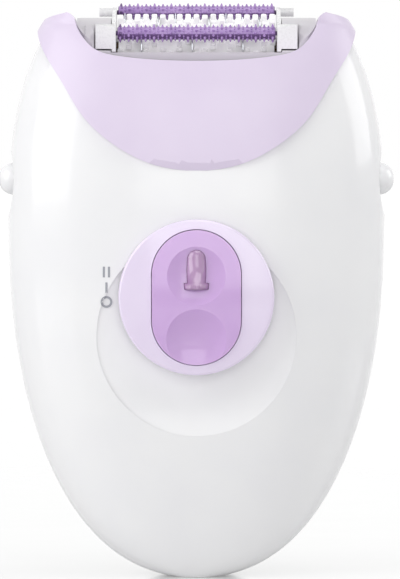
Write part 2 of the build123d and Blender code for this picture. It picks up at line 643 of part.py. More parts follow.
plate_top = rear_roller_z + 1.0
plate_points = [
    (frame_front_y, frame_low_z),
    (frame_front_y, end_block_top_z - 0.6),
    (frame_front_y + 0.7, end_block_top_z),
    (-5.6, end_block_top_z),
    (-2.5, 110.6),
    (2.5, 112.6),
    (rear_roller_y - 1.0, plate_top - 0.4),
    (rear_roller_y, plate_top),
    (rear_roller_y + 1.2, plate_top - 0.5),
    (rear_roller_y + 1.9, 112.0),
    (frame_rear_y, 108.6),
    (frame_rear_y, frame_low_z),
    (drive_y + 3.4, frame_low_z),
    (drive_y + 3.4, 106.4),
    (drive_y + 2.2, 108.4),
    (drive_y - 2.2, 108.4),
    (drive_y - 3.4, 106.4),
    (drive_y - 3.4, frame_low_z),
]
plate = along_x(plate_points, side_plate_x, side_plate_x + side_plate_thickness)
inside_plate_x = side_plate_x + 0.4
block_z = head_lip_z + 0.7
end_block = block(inside_plate_x, end_block_x, frame_front_y, front_roller_y + 2.3, block_z, end_block_top_z)
stub = rod_x(stub_radius, inside_plate_x, stub_x, rear_roller_y, rear_roller_z)
right_side = joined(plate, end_block, stub)
rear_bar = block(-inside_plate_x, inside_plate_x, frame_rear_y - 1.7, frame_rear_y, frame_low_z, 107.4)
roller_frame = joined(rear_bar, right_side, mirrored(right_side))
for y, z in ((front_roller_y, front_roller_z), (rear_roller_y, rear_roller_z)):
    roller_frame = roller_frame - rod_x(journal_radius + running_gap, -17.6, 17.6, y, z)

# ---- release buttons ----
flange_x = pad_inner_x - 0.1 - flange_thickness
button_cap = button_shape(button_half_depth, button_half_height, flange_x, button_reach)
button_cap = button_cap.fillet(button_nose_round, button_cap.faces().sort_by(Axis.X)[-1].edges())
flange_outer_x = flange_x + flange_thickness
button = button_cap + block(flange_x, flange_outer_x, -6.0, 6.0, button_z - 4.6, button_z + 4.6)
bar_x = flange_x - 5.0
bar_low, bar_high = leg_bottom_z + 1.2, leg_bottom_z + 3.4
button = button + block(flange_x, flange_outer_x, -1.8, 1.8, button_z, bar_high)
button = button + block(bar_x, flange_outer_x, -1.8, 1.8, bar_low, bar_high)
button = button + block(bar_x, bar_x + 1.4, drive_y - 9.2, drive_y + 9.2, bar_low, bar_high)
button_peg = rod_x(1.4, deck_half_width + button_travel + 0.6, flange_x + 0.1, 0, button_z)
button = button + button_peg
spring_x0, spring_x1 = wall_x + 0.2, flange_x
coil_length = spring_x1 - spring_x0 - 0.5
coil_centre = (spring_x0 + 0.25, 0, button_z)
coil = Wire(Edge.make_helix(coil_length / spring_turns, coil_length, spring_radius, coil_centre, (1, 0, 0)))
coil_section = Wire.make_circle(spring_wire_radius, Plane(origin=coil @ 0, z_dir=coil % 0))
button_spring = Solid.sweep(Face(coil_section), coil)

# ---- switch ----


def disc_blank():
    """The switch disc before its underside is shaped."""
    slab = rod_y(switch_radius, disc_front_y, -14, 0, switch_z)
    ball = Solid.make_sphere(switch_dome_radius, Plane((0, disc_front_y + switch_dome_radius, switch_z)))
    return slab.intersect(ball).solid()


def housing_envelope(grow):
    """The handle's front with its dish, grown by a clearance."""
    return egg(grow, 20, 92) - dish_cutter(grow)


disc = disc_blank()
rim_edges = [e for e in disc.edges() if e.center().Y < -18 and e.length > 50]
disc = disc.fillet(switch_edge_round, rim_edges)
envelope = housing_envelope(switch_clearance)
for shift in (0, switch_travel / 2, switch_travel):
    disc = disc - envelope.translate(Vector(0, 0, -shift))
disc = largest(disc)
pocket = stadium(window_width / 2, window_height / 2, 0, switch_z, -40, window_floor_y)
disc = disc - pocket
carrier_y0 = dish_back_y + 0.3
carrier_y1 = carrier_y0 + carrier_thickness
stem_low, stem_high = stem_z - stem_height / 2, stem_z + stem_height / 2
disc = disc + block(-stem_width / 2, stem_width / 2, -19.0, carrier_y1 + 0.5, stem_low, stem_high)
window_back_y = window_floor_y - 0.02
window_front_y = disc_front_y - window_proud
window_half_width, window_half_height = window_width / 2 - window_fit, window_height / 2 - window_fit
window = stadium(window_half_width, window_half_height, 0, switch_z, -30, window_back_y)
window_ball = Solid.make_sphere(switch_dome_radius, Plane((0, window_front_y + switch_dome_radius, switch_z)))
window = window.intersect(window_ball).solid()
for radius, sink, z in (
    (thumb_scoop_radius, thumb_scoop_sink, thumb_scoop_z),
    (lamp_scoop_radius, lamp_scoop_sink, lamp_scoop_z),
):
    window = window - Solid.make_sphere(radius, Plane((0, window_front_y + sink - radius, z)))


def bullet(grow):
    """The lamp: a bullet with a flange, lying upright and cut flat behind."""
    nose = Solid.make_sphere(lamp_radius + grow, Plane((0, lamp_y, lamp_shoulder_z)))
    barrel = rod_z(lamp_radius + grow, lamp_bottom_z, lamp_shoulder_z, 0, lamp_y)
    flange = rod_z(lamp_flange_radius + grow, lamp_bottom_z - grow, lamp_bottom_z + 1.2 + grow, 0, lamp_y)
    return joined(nose, barrel, flange).intersect(block(-9, 9, -30, window_back_y, 40, 80)).solid()


lamp = bullet(0)
window = window - bullet(lamp_fit)
carrier_low, carrier_high = stem_z - carrier_height / 2, stem_z + carrier_height / 2
carrier = block(-carrier_half_width, carrier_half_width, carrier_y0, carrier_y1, carrier_low, carrier_high)
carrier = carrier - block(-stem_width / 2, stem_width / 2, -20, 0, stem_low, stem_high)

# ---- circuit board ----
board = block(-board_half_width, board_half_width, board_front_y, board_back_y, board_bottom_z, board_top_z)
board_screws = []
for x, z in board_posts:
    board = board - rod_y(0.95, -20, 0, x, z)
    screw = rod_y(0.7, -14.8, board_back_y + 0.1, x, z) + rod_y(1.4, board_back_y, board_back_y + 0.9, x, z)
    board_screws.append(screw)
contact_strips = []
for x in (-7.0, 7.0):
    contact_strips.append(block(x - 0.6, x + 0.6, board_front_y - 0.1, board_front_y, 42, 60))
capacitor = rod_x(2.2, -5.0, 5.0, board_back_y + 2.2, 38.6)
rectifier = block(5.6, 9.4, board_back_y, board_back_y + 2.0, 46.5, 51.0)
resistors = [block(x, x + 1.2, board_back_y, board_back_y + 0.7, 43.5, 45.8) for x in (-6.0, -3.0, 3.0)]

# ---- power inlet ----
inlet_top_z = inlet_floor_z + inlet_floor
tail_top_z = inlet_top_z + 2.5
socket = stadium_flat(inlet_half_width, inlet_half_depth, inlet_mouth_z, inlet_top_z)
socket = socket + stadium_flat(inlet_foot_x, inlet_foot_y, inlet_floor_z + inlet_fit, inlet_top_z)
socket = socket - stadium_flat(inlet_half_width - inlet_wall, inlet_half_depth - inlet_wall, 0, inlet_floor_z)
inlet_pins = []
for x in (-inlet_pin_spacing / 2, inlet_pin_spacing / 2):
    pin = rod_z(inlet_pin_radius, inlet_floor_z - inlet_pin_length, inlet_floor_z, x, 0)
    pin = pin.fillet(inlet_pin_round, pin.edges().sort_by(Axis.Z)[0:1])
    inlet_pins.append(pin.fuse(rod_z(inlet_shank_radius, inlet_floor_z, tail_top_z, x, 0)).solid())
    socket = socket - rod_z(inlet_shank_radius, inlet_floor_z - 0.1, 20, x, 0)

# ---- screws ----
housing_screws = []
for x, z, gap in boss_places:
    screw = rod_y(screw_radius, -10.5, 8.1, x, z) + rod_y(screw_head_radius, 8.0, 9.6, x, z)
    housing_screws.append(screw - block(x - 0.3, x + 0.3, 8.9, 12, z - 1.5, z + 1.5))
deck_screws = []
for x, y in motor_screws:
    screw = rod_z(screw_radius - 0.1, deck_z, deck_top_z + 0.1, x, y)
    screw = screw + rod_z(0.8, deck_z - 2.4, deck_z, x, y) + rod_z(1.9, deck_top_z, deck_top_z + 1.1, x, y)
    deck_screws.append(screw)
seat_screw_solids = []
for x, y in seat_screws:
    seat = seat - rod_z(1.9, seat_top_z - 0.9, seat_top_z + 1, x, y)
    screw = rod_z(0.8, seat_z - 6, seat_top_z - 0.3, x, y)
    seat_screw_solids.append(screw + rod_z(1.75, seat_top_z - 0.9, seat_top_z - 0.1, x, y))

# ---- leads ----


def lead(points):
    """A round insulated lead through these points."""
    path = Edge.make_spline([Vector(*p) for p in points])
    section = Face(Wire.make_circle(lead_radius, Plane(origin=path @ 0, z_dir=path % 0)))
    return Solid.sweep(section, Wire([path]))


pad_y = board_back_y + 0.6
supply_leads = []
motor_leads = []
for side in (-1, 1):
    pin_x = side * inlet_pin_spacing / 2
    supply_path = [
        (pin_x, 0, tail_top_z + 0.05),
        (pin_x * 1.5, -0.5, 19),
        (side * 8.0, -4.0, 27),
        (side * 11.0, pad_y, 36.5),
    ]
    supply_leads.append(lead(supply_path))
    motor_path = [
        (side * 7.0, drive_y, motor_z - 4.6),
        (side * 7.1, -1.5, 33.6),
        (side * 7.4, -7.5, 32.2),
        (side * 8.6, pad_y, 31.4),
    ]
    motor_leads.append(lead(motor_path))

parts = {
    "front_housing": front_half,
    "rear_housing": rear_half,
    "collar": collar,
    "head_seat": seat,
    "chassis": deck,
    "housing_screws": housing_screws,
    "chassis_screws": deck_screws,
    "seat_screws": seat_screw_solids,
    "motor_can": can,
    "motor_magnets": [magnet_left, magnet_right],
    "motor_end_cap": end_cap,
    "motor_terminals": terminals,
    "motor_rotor": rotor,
    "motor_windings": windings,
    "motor_commutator": commutator,
    "motor_shaft": motor_shaft,
    "motor_pinion": pinion,
    "crown_gear": crown,
    "crown_shaft": crown_shaft,
    "shaft_bushes": shaft_bushes,
    "drive_gear": drive_gear,
    "circuit_board": board,
    "board_screws": board_screws,
    "contact_strips": contact_strips,
    "capacitor": capacitor,
    "rectifier": rectifier,
    "resistors": resistors,
    "supply_leads": supply_leads,
    "motor_leads": motor_leads,
    "inlet_socket": socket,
    "inlet_pins": inlet_pins,
    "release_button_right": button,
    "release_button_left": mirrored(button),
    "release_spring_right": button_spring,
    "release_spring_left": mirrored(button_spring),
    "switch_disc": disc,
    "switch_window": window,
    "switch_lamp": lamp,
    "switch_carrier": carrier,
    "head_frame": head,
    "head_cover_right": cover_right,
    "head_cover_left": cover_left,
    "drum_bushes": drum_bushes,
    "idler_gear": idler,
    "idler_axle": idler_axle,
    "tweezer_drum": drum,
    "tweezer_blades": blade_sets,
    "drum_axle": drum_axle,
    "drum_gear": drum_gear,
    "roller_frame": roller_frame,
    "front_roller": studded_roller(front_roller_y, front_roller_z),
    "rear_roller": studded_roller(rear_roller_y, rear_roller_z),
}


def main():
    """Write one STEP file for each part."""
    os.makedirs("parts", exist_ok=True)
    for name, shape in parts.items():
        export_step(Compound(children=shape) if isinstance(shape, list) else shape, f"parts/{name}.step")


if __name__ == "__main__":
    main()
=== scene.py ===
"""The looks of a hand-held epilator: its finishes, its fine moulded detail, a plain studio and a camera.

Lengths named with _mm are millimetres, and everything handed to the scene is in metres.
+Z is up and the front faces -Y.
"""

import json
import logging
import math
from dataclasses import dataclass
from enum import Enum

import bmesh
import bpy
from mathutils import Matrix, Vector
from mathutils.bvhtree import BVHTree

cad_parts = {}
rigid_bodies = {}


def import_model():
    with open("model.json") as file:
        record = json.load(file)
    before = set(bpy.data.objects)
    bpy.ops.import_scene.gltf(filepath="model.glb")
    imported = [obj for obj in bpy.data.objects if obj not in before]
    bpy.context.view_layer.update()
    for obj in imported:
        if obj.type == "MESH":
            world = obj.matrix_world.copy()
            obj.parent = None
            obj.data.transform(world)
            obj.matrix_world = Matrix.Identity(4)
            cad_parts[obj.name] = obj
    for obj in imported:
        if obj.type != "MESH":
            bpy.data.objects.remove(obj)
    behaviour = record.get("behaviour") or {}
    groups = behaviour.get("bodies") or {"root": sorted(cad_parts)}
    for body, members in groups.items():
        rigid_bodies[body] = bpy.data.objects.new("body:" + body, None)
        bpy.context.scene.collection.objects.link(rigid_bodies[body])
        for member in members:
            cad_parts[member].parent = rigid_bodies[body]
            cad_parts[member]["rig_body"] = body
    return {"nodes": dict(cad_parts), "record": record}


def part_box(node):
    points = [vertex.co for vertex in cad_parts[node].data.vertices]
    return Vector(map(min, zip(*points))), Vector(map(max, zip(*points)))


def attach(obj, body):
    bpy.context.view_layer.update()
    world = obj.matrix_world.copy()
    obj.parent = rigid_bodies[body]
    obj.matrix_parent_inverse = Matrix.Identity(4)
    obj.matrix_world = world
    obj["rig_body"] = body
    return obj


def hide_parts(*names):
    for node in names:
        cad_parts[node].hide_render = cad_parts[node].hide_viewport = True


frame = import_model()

log = logging.getLogger("epilator")
MM = 0.001
# A noise texture seldom leaves this range.
NOISE_LOW, NOISE_HIGH = 0.3, 0.7


# ---- small tools ----


def linear(hex_colour: str, alpha: float = 1.0) -> tuple[float, float, float, float]:
    """Turn an sRGB hex colour into linear light.

    Args:
        hex_colour: six hex digits with a leading hash.
        alpha: the fourth channel.

    Returns:
        Linear red, green, blue and alpha.
    """
    channels = [int(hex_colour[i : i + 2], 16) / 255 for i in (1, 3, 5)]
    lit = [c / 12.92 if c <= 0.04045 else ((c + 0.055) / 1.055) ** 2.4 for c in channels]
    return (lit[0], lit[1], lit[2], alpha)


def add_node(
    tree: bpy.types.NodeTree, kind: str, settings: dict | None = None, links: dict | None = None
) -> bpy.types.Node:
    """Add a node with its settings and links.

    Args:
        tree: the node tree it joins.
        kind: the node's type name.
        settings: attribute names, or input names starting with a capital, to their values.
        links: input name to the output socket that feeds it.

    Returns:
        The new node.
    """
    node = tree.nodes.new(kind)
    for name, value in (settings or {}).items():
        if name in node.inputs:
            node.inputs[name].default_value = value
        else:
            setattr(node, name, value)
    for name, socket in (links or {}).items():
        tree.links.new(socket, node.inputs[name])
    return node


class Surface(Enum):
    """How a surface was made, which decides the run of its fine detail."""

    MOULDED = "moulded"
    BRUSHED = "brushed"
    TURNED = "turned"


@dataclass(frozen=True)
class Finish:
    """One material with its process, drawn with grain, tone and gloss that vary; a few also carry a
    painted glow or painted shade.
    """

    name: str
    colour: str
    second_colour: str
    roughness: float
    roughness_swing: float = 0.04
    metallic: float = 0.0
    ior: float = 1.5
    coat: float = 0.0
    coat_roughness: float = 0.05
    transmission: float = 0.0
    subsurface: float = 0.0
    subsurface_radius_mm: float = 1.0
    emission: float = 0.0
    grain_mm: float = 0.35
    grain_depth_mm: float = 0.004
    tone_mm: float = 14.0
    surface: Surface = Surface.MOULDED
    least_roughness: float = 0.02
    grain_strength: float = 0.35

    def material(self) -> bpy.types.Material:
        """Build the material the first time, and hand back the same one after that.

        Returns:
            The material named after this finish.
        """
        made = bpy.data.materials.get(self.name)
        if made:
            return made
        made = bpy.data.materials.new(self.name)
        made.use_nodes = True
        tree = made.node_tree
        tree.nodes.clear()
        place = add_node(tree, "ShaderNodeTexCoord")
        stretch = {
            Surface.MOULDED: (1.0, 1.0, 1.0),
            Surface.BRUSHED: (0.06, 1.0, 1.0),
            Surface.TURNED: (1.0, 0.12, 0.12),
        }[self.surface]
        grain_place = add_node(
            tree, "ShaderNodeMapping", {"Scale": stretch}, {"Vector": place.outputs["Object"]}
        )
        grain = add_node(
            tree,
            "ShaderNodeTexNoise",
            {"Scale": 1 / (self.grain_mm * MM), "Detail": 3.0, "Roughness": 0.55},
            {"Vector": grain_place.outputs["Vector"]},
        )
        tone = add_node(
            tree,
            "ShaderNodeTexNoise",
            {"Scale": 1 / (self.tone_mm * MM), "Detail": 2.0, "Roughness": 0.5},
            {"Vector": place.outputs["Object"]},
        )
        tint = add_node(tree, "ShaderNodeValToRGB", links={"Fac": tone.outputs["Fac"]})
        tint.color_ramp.elements[0].position = NOISE_LOW
        tint.color_ramp.elements[0].color = linear(self.second_colour)
        tint.color_ramp.elements[1].position = NOISE_HIGH
        tint.color_ramp.elements[1].color = linear(self.colour)
        gloss = add_node(
            tree,
            "ShaderNodeMapRange",
            {
                "From Min": NOISE_LOW,
                "From Max": NOISE_HIGH,
                "To Min": max(self.least_roughness, self.roughness - self.roughness_swing),
                "To Max": self.roughness + self.roughness_swing,
            },
            {"Value": grain.outputs["Fac"]},
        )
        bump = add_node(
            tree,
            "ShaderNodeBump",
            {"Strength": self.grain_strength, "Distance": self.grain_depth_mm * MM},
            {"Height": grain.outputs["Fac"]},
        )
        shader = add_node(
            tree,
            "ShaderNodeBsdfPrincipled",
            {
                "Metallic": self.metallic,
                "IOR": self.ior,
                "Coat Weight": self.coat,
                "Coat Roughness": self.coat_roughness,
                "Transmission Weight": self.transmission,
                "Subsurface Weight": self.subsurface,
                "Subsurface Radius": (1.0, 0.9, 0.95),
                "Subsurface Scale": self.subsurface_radius_mm * MM,
                "Emission Color": linear(self.colour),
                "Emission Strength": self.emission,
            },
            {
                "Base Color": tint.outputs["Color"],
                "Roughness": gloss.outputs["Result"],
                "Normal": bump.outputs["Normal"],
            },
        )
        add_node(tree, "ShaderNodeOutputMaterial", links={"Surface": shader.outputs["BSDF"]})
        return made


# Injection-moulded ABS polished in the tool: white, wet-looking, with the faintest flow marks.
WHITE_ABS = Finish(
    "polished moulded white ABS", "#F6F6F7", "#F3F3F5", 0.2, 0.02, coat=0.35, grain_mm=1.6,
    grain_depth_mm=0.002,
)
# The same plastic tinted lilac and left a little softer.
LILAC_ABS = Finish(
    "satin moulded lilac ABS", "#E3D7EC", "#DFD2E9", 0.34, 0.03, coat=0.15, grain_mm=0.9,
    grain_depth_mm=0.003,
)
DISC_ABS = Finish(
    "polished moulded lilac ABS", "#EEE3F8", "#EADDF5", 0.16, 0.02, coat=0.5, grain_mm=1.2,
    grain_depth_mm=0.002,
)
# Tinted acrylic: you see into it a little, and its surface is glassy.
VIOLET_ACRYLIC = Finish(
    "tinted violet acrylic", "#DDB9EE", "#D8B2EA", 0.12, 0.02, ior=1.49, transmission=0.15, coat=0.4,
    subsurface=0.25, subsurface_radius_mm=1.5, grain_mm=1.0, grain_depth_mm=0.001,
)
CLEAR_ACRYLIC = Finish(
    "clear acrylic light guide", "#CFA6D3", "#C095C8", 0.05, 0.02, ior=1.49, transmission=0.3, coat=1.0,
    coat_roughness=0.03, grain_mm=0.8, grain_depth_mm=0.001,
)
PEARL_ABS = Finish(
    "moulded pearl ABS", "#F6F6F7", "#F0F0F2", 0.15, 0.02, coat=0.5, subsurface=0.1, grain_mm=0.8,
    grain_depth_mm=0.002,
)
# Acetal for the head: cooler, greyer and waxier than ABS.
GREY_ACETAL = Finish(
    "moulded light grey acetal", "#D6D3D7", "#CECBD0", 0.33, 0.05, grain_mm=0.5, grain_depth_mm=0.004,
)
FRAME_ABS = Finish(
    "moulded bright white ABS", "#F4F4F4", "#EEEEEF", 0.28, 0.04, coat=0.1, grain_mm=0.5,
    grain_depth_mm=0.003,
)
# The drum glows faintly through its emission as painted light, lifting the shade that falls on it under
# the rollers; the nylon itself is plain white.
DRUM_NYLON_PAINTED_GLOW = Finish(
    "moulded white nylon, painted glow", "#F8F7F8", "#EFEDF0", 0.36, 0.06, subsurface=0.12, emission=0.12, grain_mm=0.3,
    grain_depth_mm=0.006, tone_mm=3.0,
)
# The drum's root is greyer than its white nylon fingers as painted shade in the gaps between them.
ROOT_PAINTED_SHADE = Finish(
    "turned nylon root, grey as painted shade", "#B9B4BE", "#A6A1AC", 0.45, 0.06, grain_mm=0.3, tone_mm=2.0,
    surface=Surface.TURNED,
)
VIOLET_ABS = Finish(
    "moulded violet ABS", "#B898D0", "#9D7DBA", 0.22, 0.05, coat=0.35, grain_mm=0.4,
    grain_depth_mm=0.004, tone_mm=3.0,
)
# The roller's core is the same violet ABS as its studs, painted much darker as the shade that falls
# between the studs.
VIOLET_CORE_PAINTED_SHADE = Finish(
    "violet ABS core, dark as painted shade", "#6B4C82", "#5E4274", 0.4, 0.06, grain_mm=0.25, grain_depth_mm=0.01,
    tone_mm=2.0,
)
GREY_INK = Finish(
    "pad-printed grey ink", "#A9ABB2", "#A0A2AA", 0.5, 0.05, grain_mm=0.3, grain_depth_mm=0.003,
)
GEAR_ACETAL = Finish(
    "moulded natural acetal", "#EDEBE2", "#E4E1D6", 0.4, 0.05, subsurface=0.1, grain_mm=0.4,
)
INNER_ABS = Finish(
    "moulded grey ABS", "#9A9DA2", "#8F9297", 0.5, 0.06, grain_mm=0.4, grain_depth_mm=0.008,
)
BLACK_NYLON = Finish(
    "moulded black nylon", "#1B1B1E", "#232327", 0.45, 0.08, grain_mm=0.35, grain_depth_mm=0.008,
)
BLADE_STEEL = Finish(
    "stamped stainless strip", "#B9BBC0", "#A6A8AE", 0.22, 0.06, metallic=1.0, grain_mm=0.2,
    surface=Surface.BRUSHED,
)
GROUND_STEEL = Finish(
    "ground steel shaft", "#B4B6BA", "#A3A5AA", 0.2, 0.05, metallic=1.0, grain_mm=0.2,
    surface=Surface.TURNED,
)
SPRING_WIRE = Finish(
    "drawn spring steel wire", "#8F9298", "#7F8288", 0.28, 0.06, metallic=1.0, grain_mm=0.3,
    surface=Surface.TURNED,
)
PLATED_SCREW = Finish(
    "zinc-plated steel screw", "#A9ACB0", "#9C9A8C", 0.35, 0.08, metallic=1.0, grain_mm=0.4,
)
NICKEL_CAN = Finish(
    "drawn nickel-plated steel", "#B7B9BB", "#A9ABAE", 0.26, 0.05, metallic=1.0, grain_mm=0.6,
    surface=Surface.BRUSHED,
)
FERRITE = Finish("sintered ferrite", "#2B2A2C", "#353437", 0.6, 0.1, grain_mm=0.25, grain_depth_mm=0.02)
SINTERED_BRONZE = Finish(
    "sintered bronze", "#A57C4A", "#8F6A3E", 0.45, 0.1, metallic=1.0, grain_mm=0.15,
    grain_depth_mm=0.01,
)
PLATED_BRASS = Finish(
    "plated brass contact", "#D2B36A", "#BFA05B", 0.25, 0.06, metallic=1.0, grain_mm=0.3,
    surface=Surface.BRUSHED,
)
ENAMELLED_COPPER = Finish(
    "enamelled copper wire", "#B4673A", "#94502C", 0.3, 0.08, metallic=1.0, grain_mm=0.35,
    grain_depth_mm=0.03,
)
GLASS_EPOXY = Finish(
    "glass-epoxy laminate", "#1C5A34", "#17492B", 0.35, 0.08, coat=0.3, grain_mm=0.4,
    grain_depth_mm=0.01,
)
RED_PVC = Finish(
    "red PVC insulation", "#A3201E", "#8E1A19", 0.4, 0.06, grain_mm=0.5, grain_depth_mm=0.006,
)
BLACK_PVC = Finish(
    "black PVC insulation", "#1A1A1B", "#242426", 0.42, 0.06, grain_mm=0.5, grain_depth_mm=0.006,
)

FINISH_OF_SLOT = {
    "body_white": WHITE_ABS, "collar_lilac": LILAC_ABS, "switch_lilac": DISC_ABS,
    "window_violet": VIOLET_ACRYLIC, "lamp_clear": CLEAR_ACRYLIC, "button_grey": PEARL_ABS,
    "head_grey": GREY_ACETAL, "frame_white": FRAME_ABS, "drum_white": DRUM_NYLON_PAINTED_GLOW,
    "roller_violet": VIOLET_ABS, "blade_steel": BLADE_STEEL, "shaft_steel": GROUND_STEEL,
    "spring_steel": SPRING_WIRE, "screw_steel": PLATED_SCREW, "motor_steel": NICKEL_CAN,
    "magnet_dark": FERRITE, "bush_bronze": SINTERED_BRONZE, "contact_brass": PLATED_BRASS,
    "copper_wire": ENAMELLED_COPPER, "gear_white": GEAR_ACETAL, "inner_grey": INNER_ABS,
    "inner_black": BLACK_NYLON, "board_green": GLASS_EPOXY, "lead_red": RED_PVC,
    "lead_black": BLACK_PVC,
}
SLOT_OF_NODE = {part["node"]: part["material_slot"] for part in frame["record"]["subparts"]}


def dress(piece: bpy.types.Object, finish: Finish) -> None:
    """Give a piece one finish in place of whatever it had.

    Args:
        piece: the object.
        finish: its new finish.
    """
    piece.data.materials.clear()
    piece.data.materials.append(finish.material())


def new_piece(
    name: str, mesh_maker: bmesh.types.BMesh, body: str, slot: str, *finishes: Finish
) -> bpy.types.Object:
    """Turn a finished bmesh into a piece that rides on a body.

    Args:
        name: the piece's name.
        mesh_maker: the bmesh, which is freed.
        body: the body it rides on.
        slot: the record's material slot it belongs to; not used.
        finishes: its finishes, in the order of the faces' material numbers.

    Returns:
        The new object.
    """
    mesh = bpy.data.meshes.new(name)
    mesh_maker.to_mesh(mesh)
    mesh_maker.free()
    piece = bpy.data.objects.new(name, mesh)
    bpy.context.scene.collection.objects.link(piece)
    for finish in finishes:
        mesh.materials.append(finish.material())
    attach(piece, body)
    log.info("%s: %d faces on %s", name, len(mesh.polygons), body)
    return piece


# ---- the moulded skins ----


@dataclass(frozen=True)
class Ball:
    """A spherical face: bulging when radius_mm is above 0, hollow when below."""

    centre_mm: tuple[float, float, float]
    radius_mm: float

    def normal(self, point: Vector) -> tuple[Vector, float]:
        """The face's outward direction near a point.

        Args:
            point: the point in millimetres.

        Returns:
            The unit normal, and the point's distance from the sphere in millimetres.
        """
        away = point - Vector(self.centre_mm)
        outward = away.normalized() * (1 if self.radius_mm > 0 else -1)
        return outward, abs(away.length - abs(self.radius_mm))


@dataclass(frozen=True)
class Trough:
    """A hollow face that follows the outside of a ring lying flat: the shallow thumb dish."""

    centre_mm: tuple[float, float, float]
    ring_radius_mm: float
    tube_radius_mm: float

    def normal(self, point: Vector) -> tuple[Vector, float]:
        """The face's outward direction near a point.

        Args:
            point: the point in millimetres.

        Returns:
            The unit normal, and the point's distance from the ring's surface in millimetres.
        """
        centre = Vector(self.centre_mm)
        level = Vector((point.x - centre.x, point.y - centre.y, 0)).normalized()
        inward = centre + level * self.ring_radius_mm - point
        return inward.normalized(), abs(inward.length - self.tube_radius_mm)


@dataclass(frozen=True)
class EggForm:
    """The handle's outer form, used to shade its skins as smoothly as a polished tool leaves them.

    A pair called reach gives how far from the widest height the width and the depth would run out.
    The collar stands outside the handle by its own thickness and flares towards its top.
    """

    collar: bool = False
    half_width_mm: float = 37.6
    half_depth_mm: float = 20.5
    widest_z_mm: float = 71.0
    section_power: float = 2.5
    lower_reach_mm: tuple[float, float] = (71.4, 75.0)
    lower_power: float = 2.2
    upper_reach_mm: tuple[float, float] = (52.5, 44.0)
    upper_width_power: float = 2.5
    upper_depth_power: float = 2.4
    upper_depth_rise_mm: float = 39.0
    corner_power: float = 2.3
    collar_thickness_mm: float = 0.9
    flare_foot_mm: float = 100.0
    flare_height_mm: float = 9.0
    flare_power: float = 1.5
    least_share: float = 1e-6
    probe_mm: float = 0.05

    def sizes(self, z_mm: float, grow_mm: float) -> tuple[float, float]:
        """Half width and half depth at a height.

        Args:
            z_mm: the height.
            grow_mm: how far the skin stands outside the handle.

        Returns:
            Both half sizes in millimetres.
        """
        if z_mm < self.widest_z_mm:
            drop = self.widest_z_mm - z_mm
            wide = 1 - (drop / self.lower_reach_mm[0]) ** self.lower_power
            deep = 1 - (drop / self.lower_reach_mm[1]) ** self.lower_power
            width_power = self.corner_power
        else:
            rise = z_mm - self.widest_z_mm
            wide = 1 - (rise / self.upper_reach_mm[0]) ** self.upper_width_power
            rise_in_depth = min(rise, self.upper_depth_rise_mm)
            deep = 1 - (rise_in_depth / self.upper_reach_mm[1]) ** self.upper_depth_power
            width_power = self.upper_width_power
        return (
            self.half_width_mm * max(wide, self.least_share) ** (1 / width_power) + grow_mm,
            self.half_depth_mm * max(deep, self.least_share) ** (1 / self.corner_power) + grow_mm,
        )

    def level(self, point: Vector) -> float:
        """How far outside or inside the form a point lies, in terms of the section's own equation.

        Args:
            point: the point in millimetres.

        Returns:
            Above 0 outside, 0 on the form and below 0 inside.
        """
        grow = 0.0
        if self.collar:
            flare = min(1.0, max(0.0, (point.z - self.flare_foot_mm) / self.flare_height_mm))
            grow = self.collar_thickness_mm + flare**self.flare_power
        wide, deep = self.sizes(point.z, grow)
        return abs(point.x / wide) ** self.section_power + abs(point.y / deep) ** self.section_power - 1

    def normal(self, point: Vector) -> tuple[Vector, float]:
        """The form's outward direction near a point.

        Args:
            point: the point in millimetres.

        Returns:
            The unit normal, and the point's distance from the form in millimetres.
        """
        here = self.level(point)
        moves = [Vector(d) * self.probe_mm for d in ((1, 0, 0), (0, 1, 0), (0, 0, 1))]
        rises = [self.level(point + move) - self.level(point - move) for move in moves]
        slope = Vector([rise / (2 * self.probe_mm) for rise in rises])
        size = max(slope.length, 1e-9)
        return slope / size, abs(here) / size


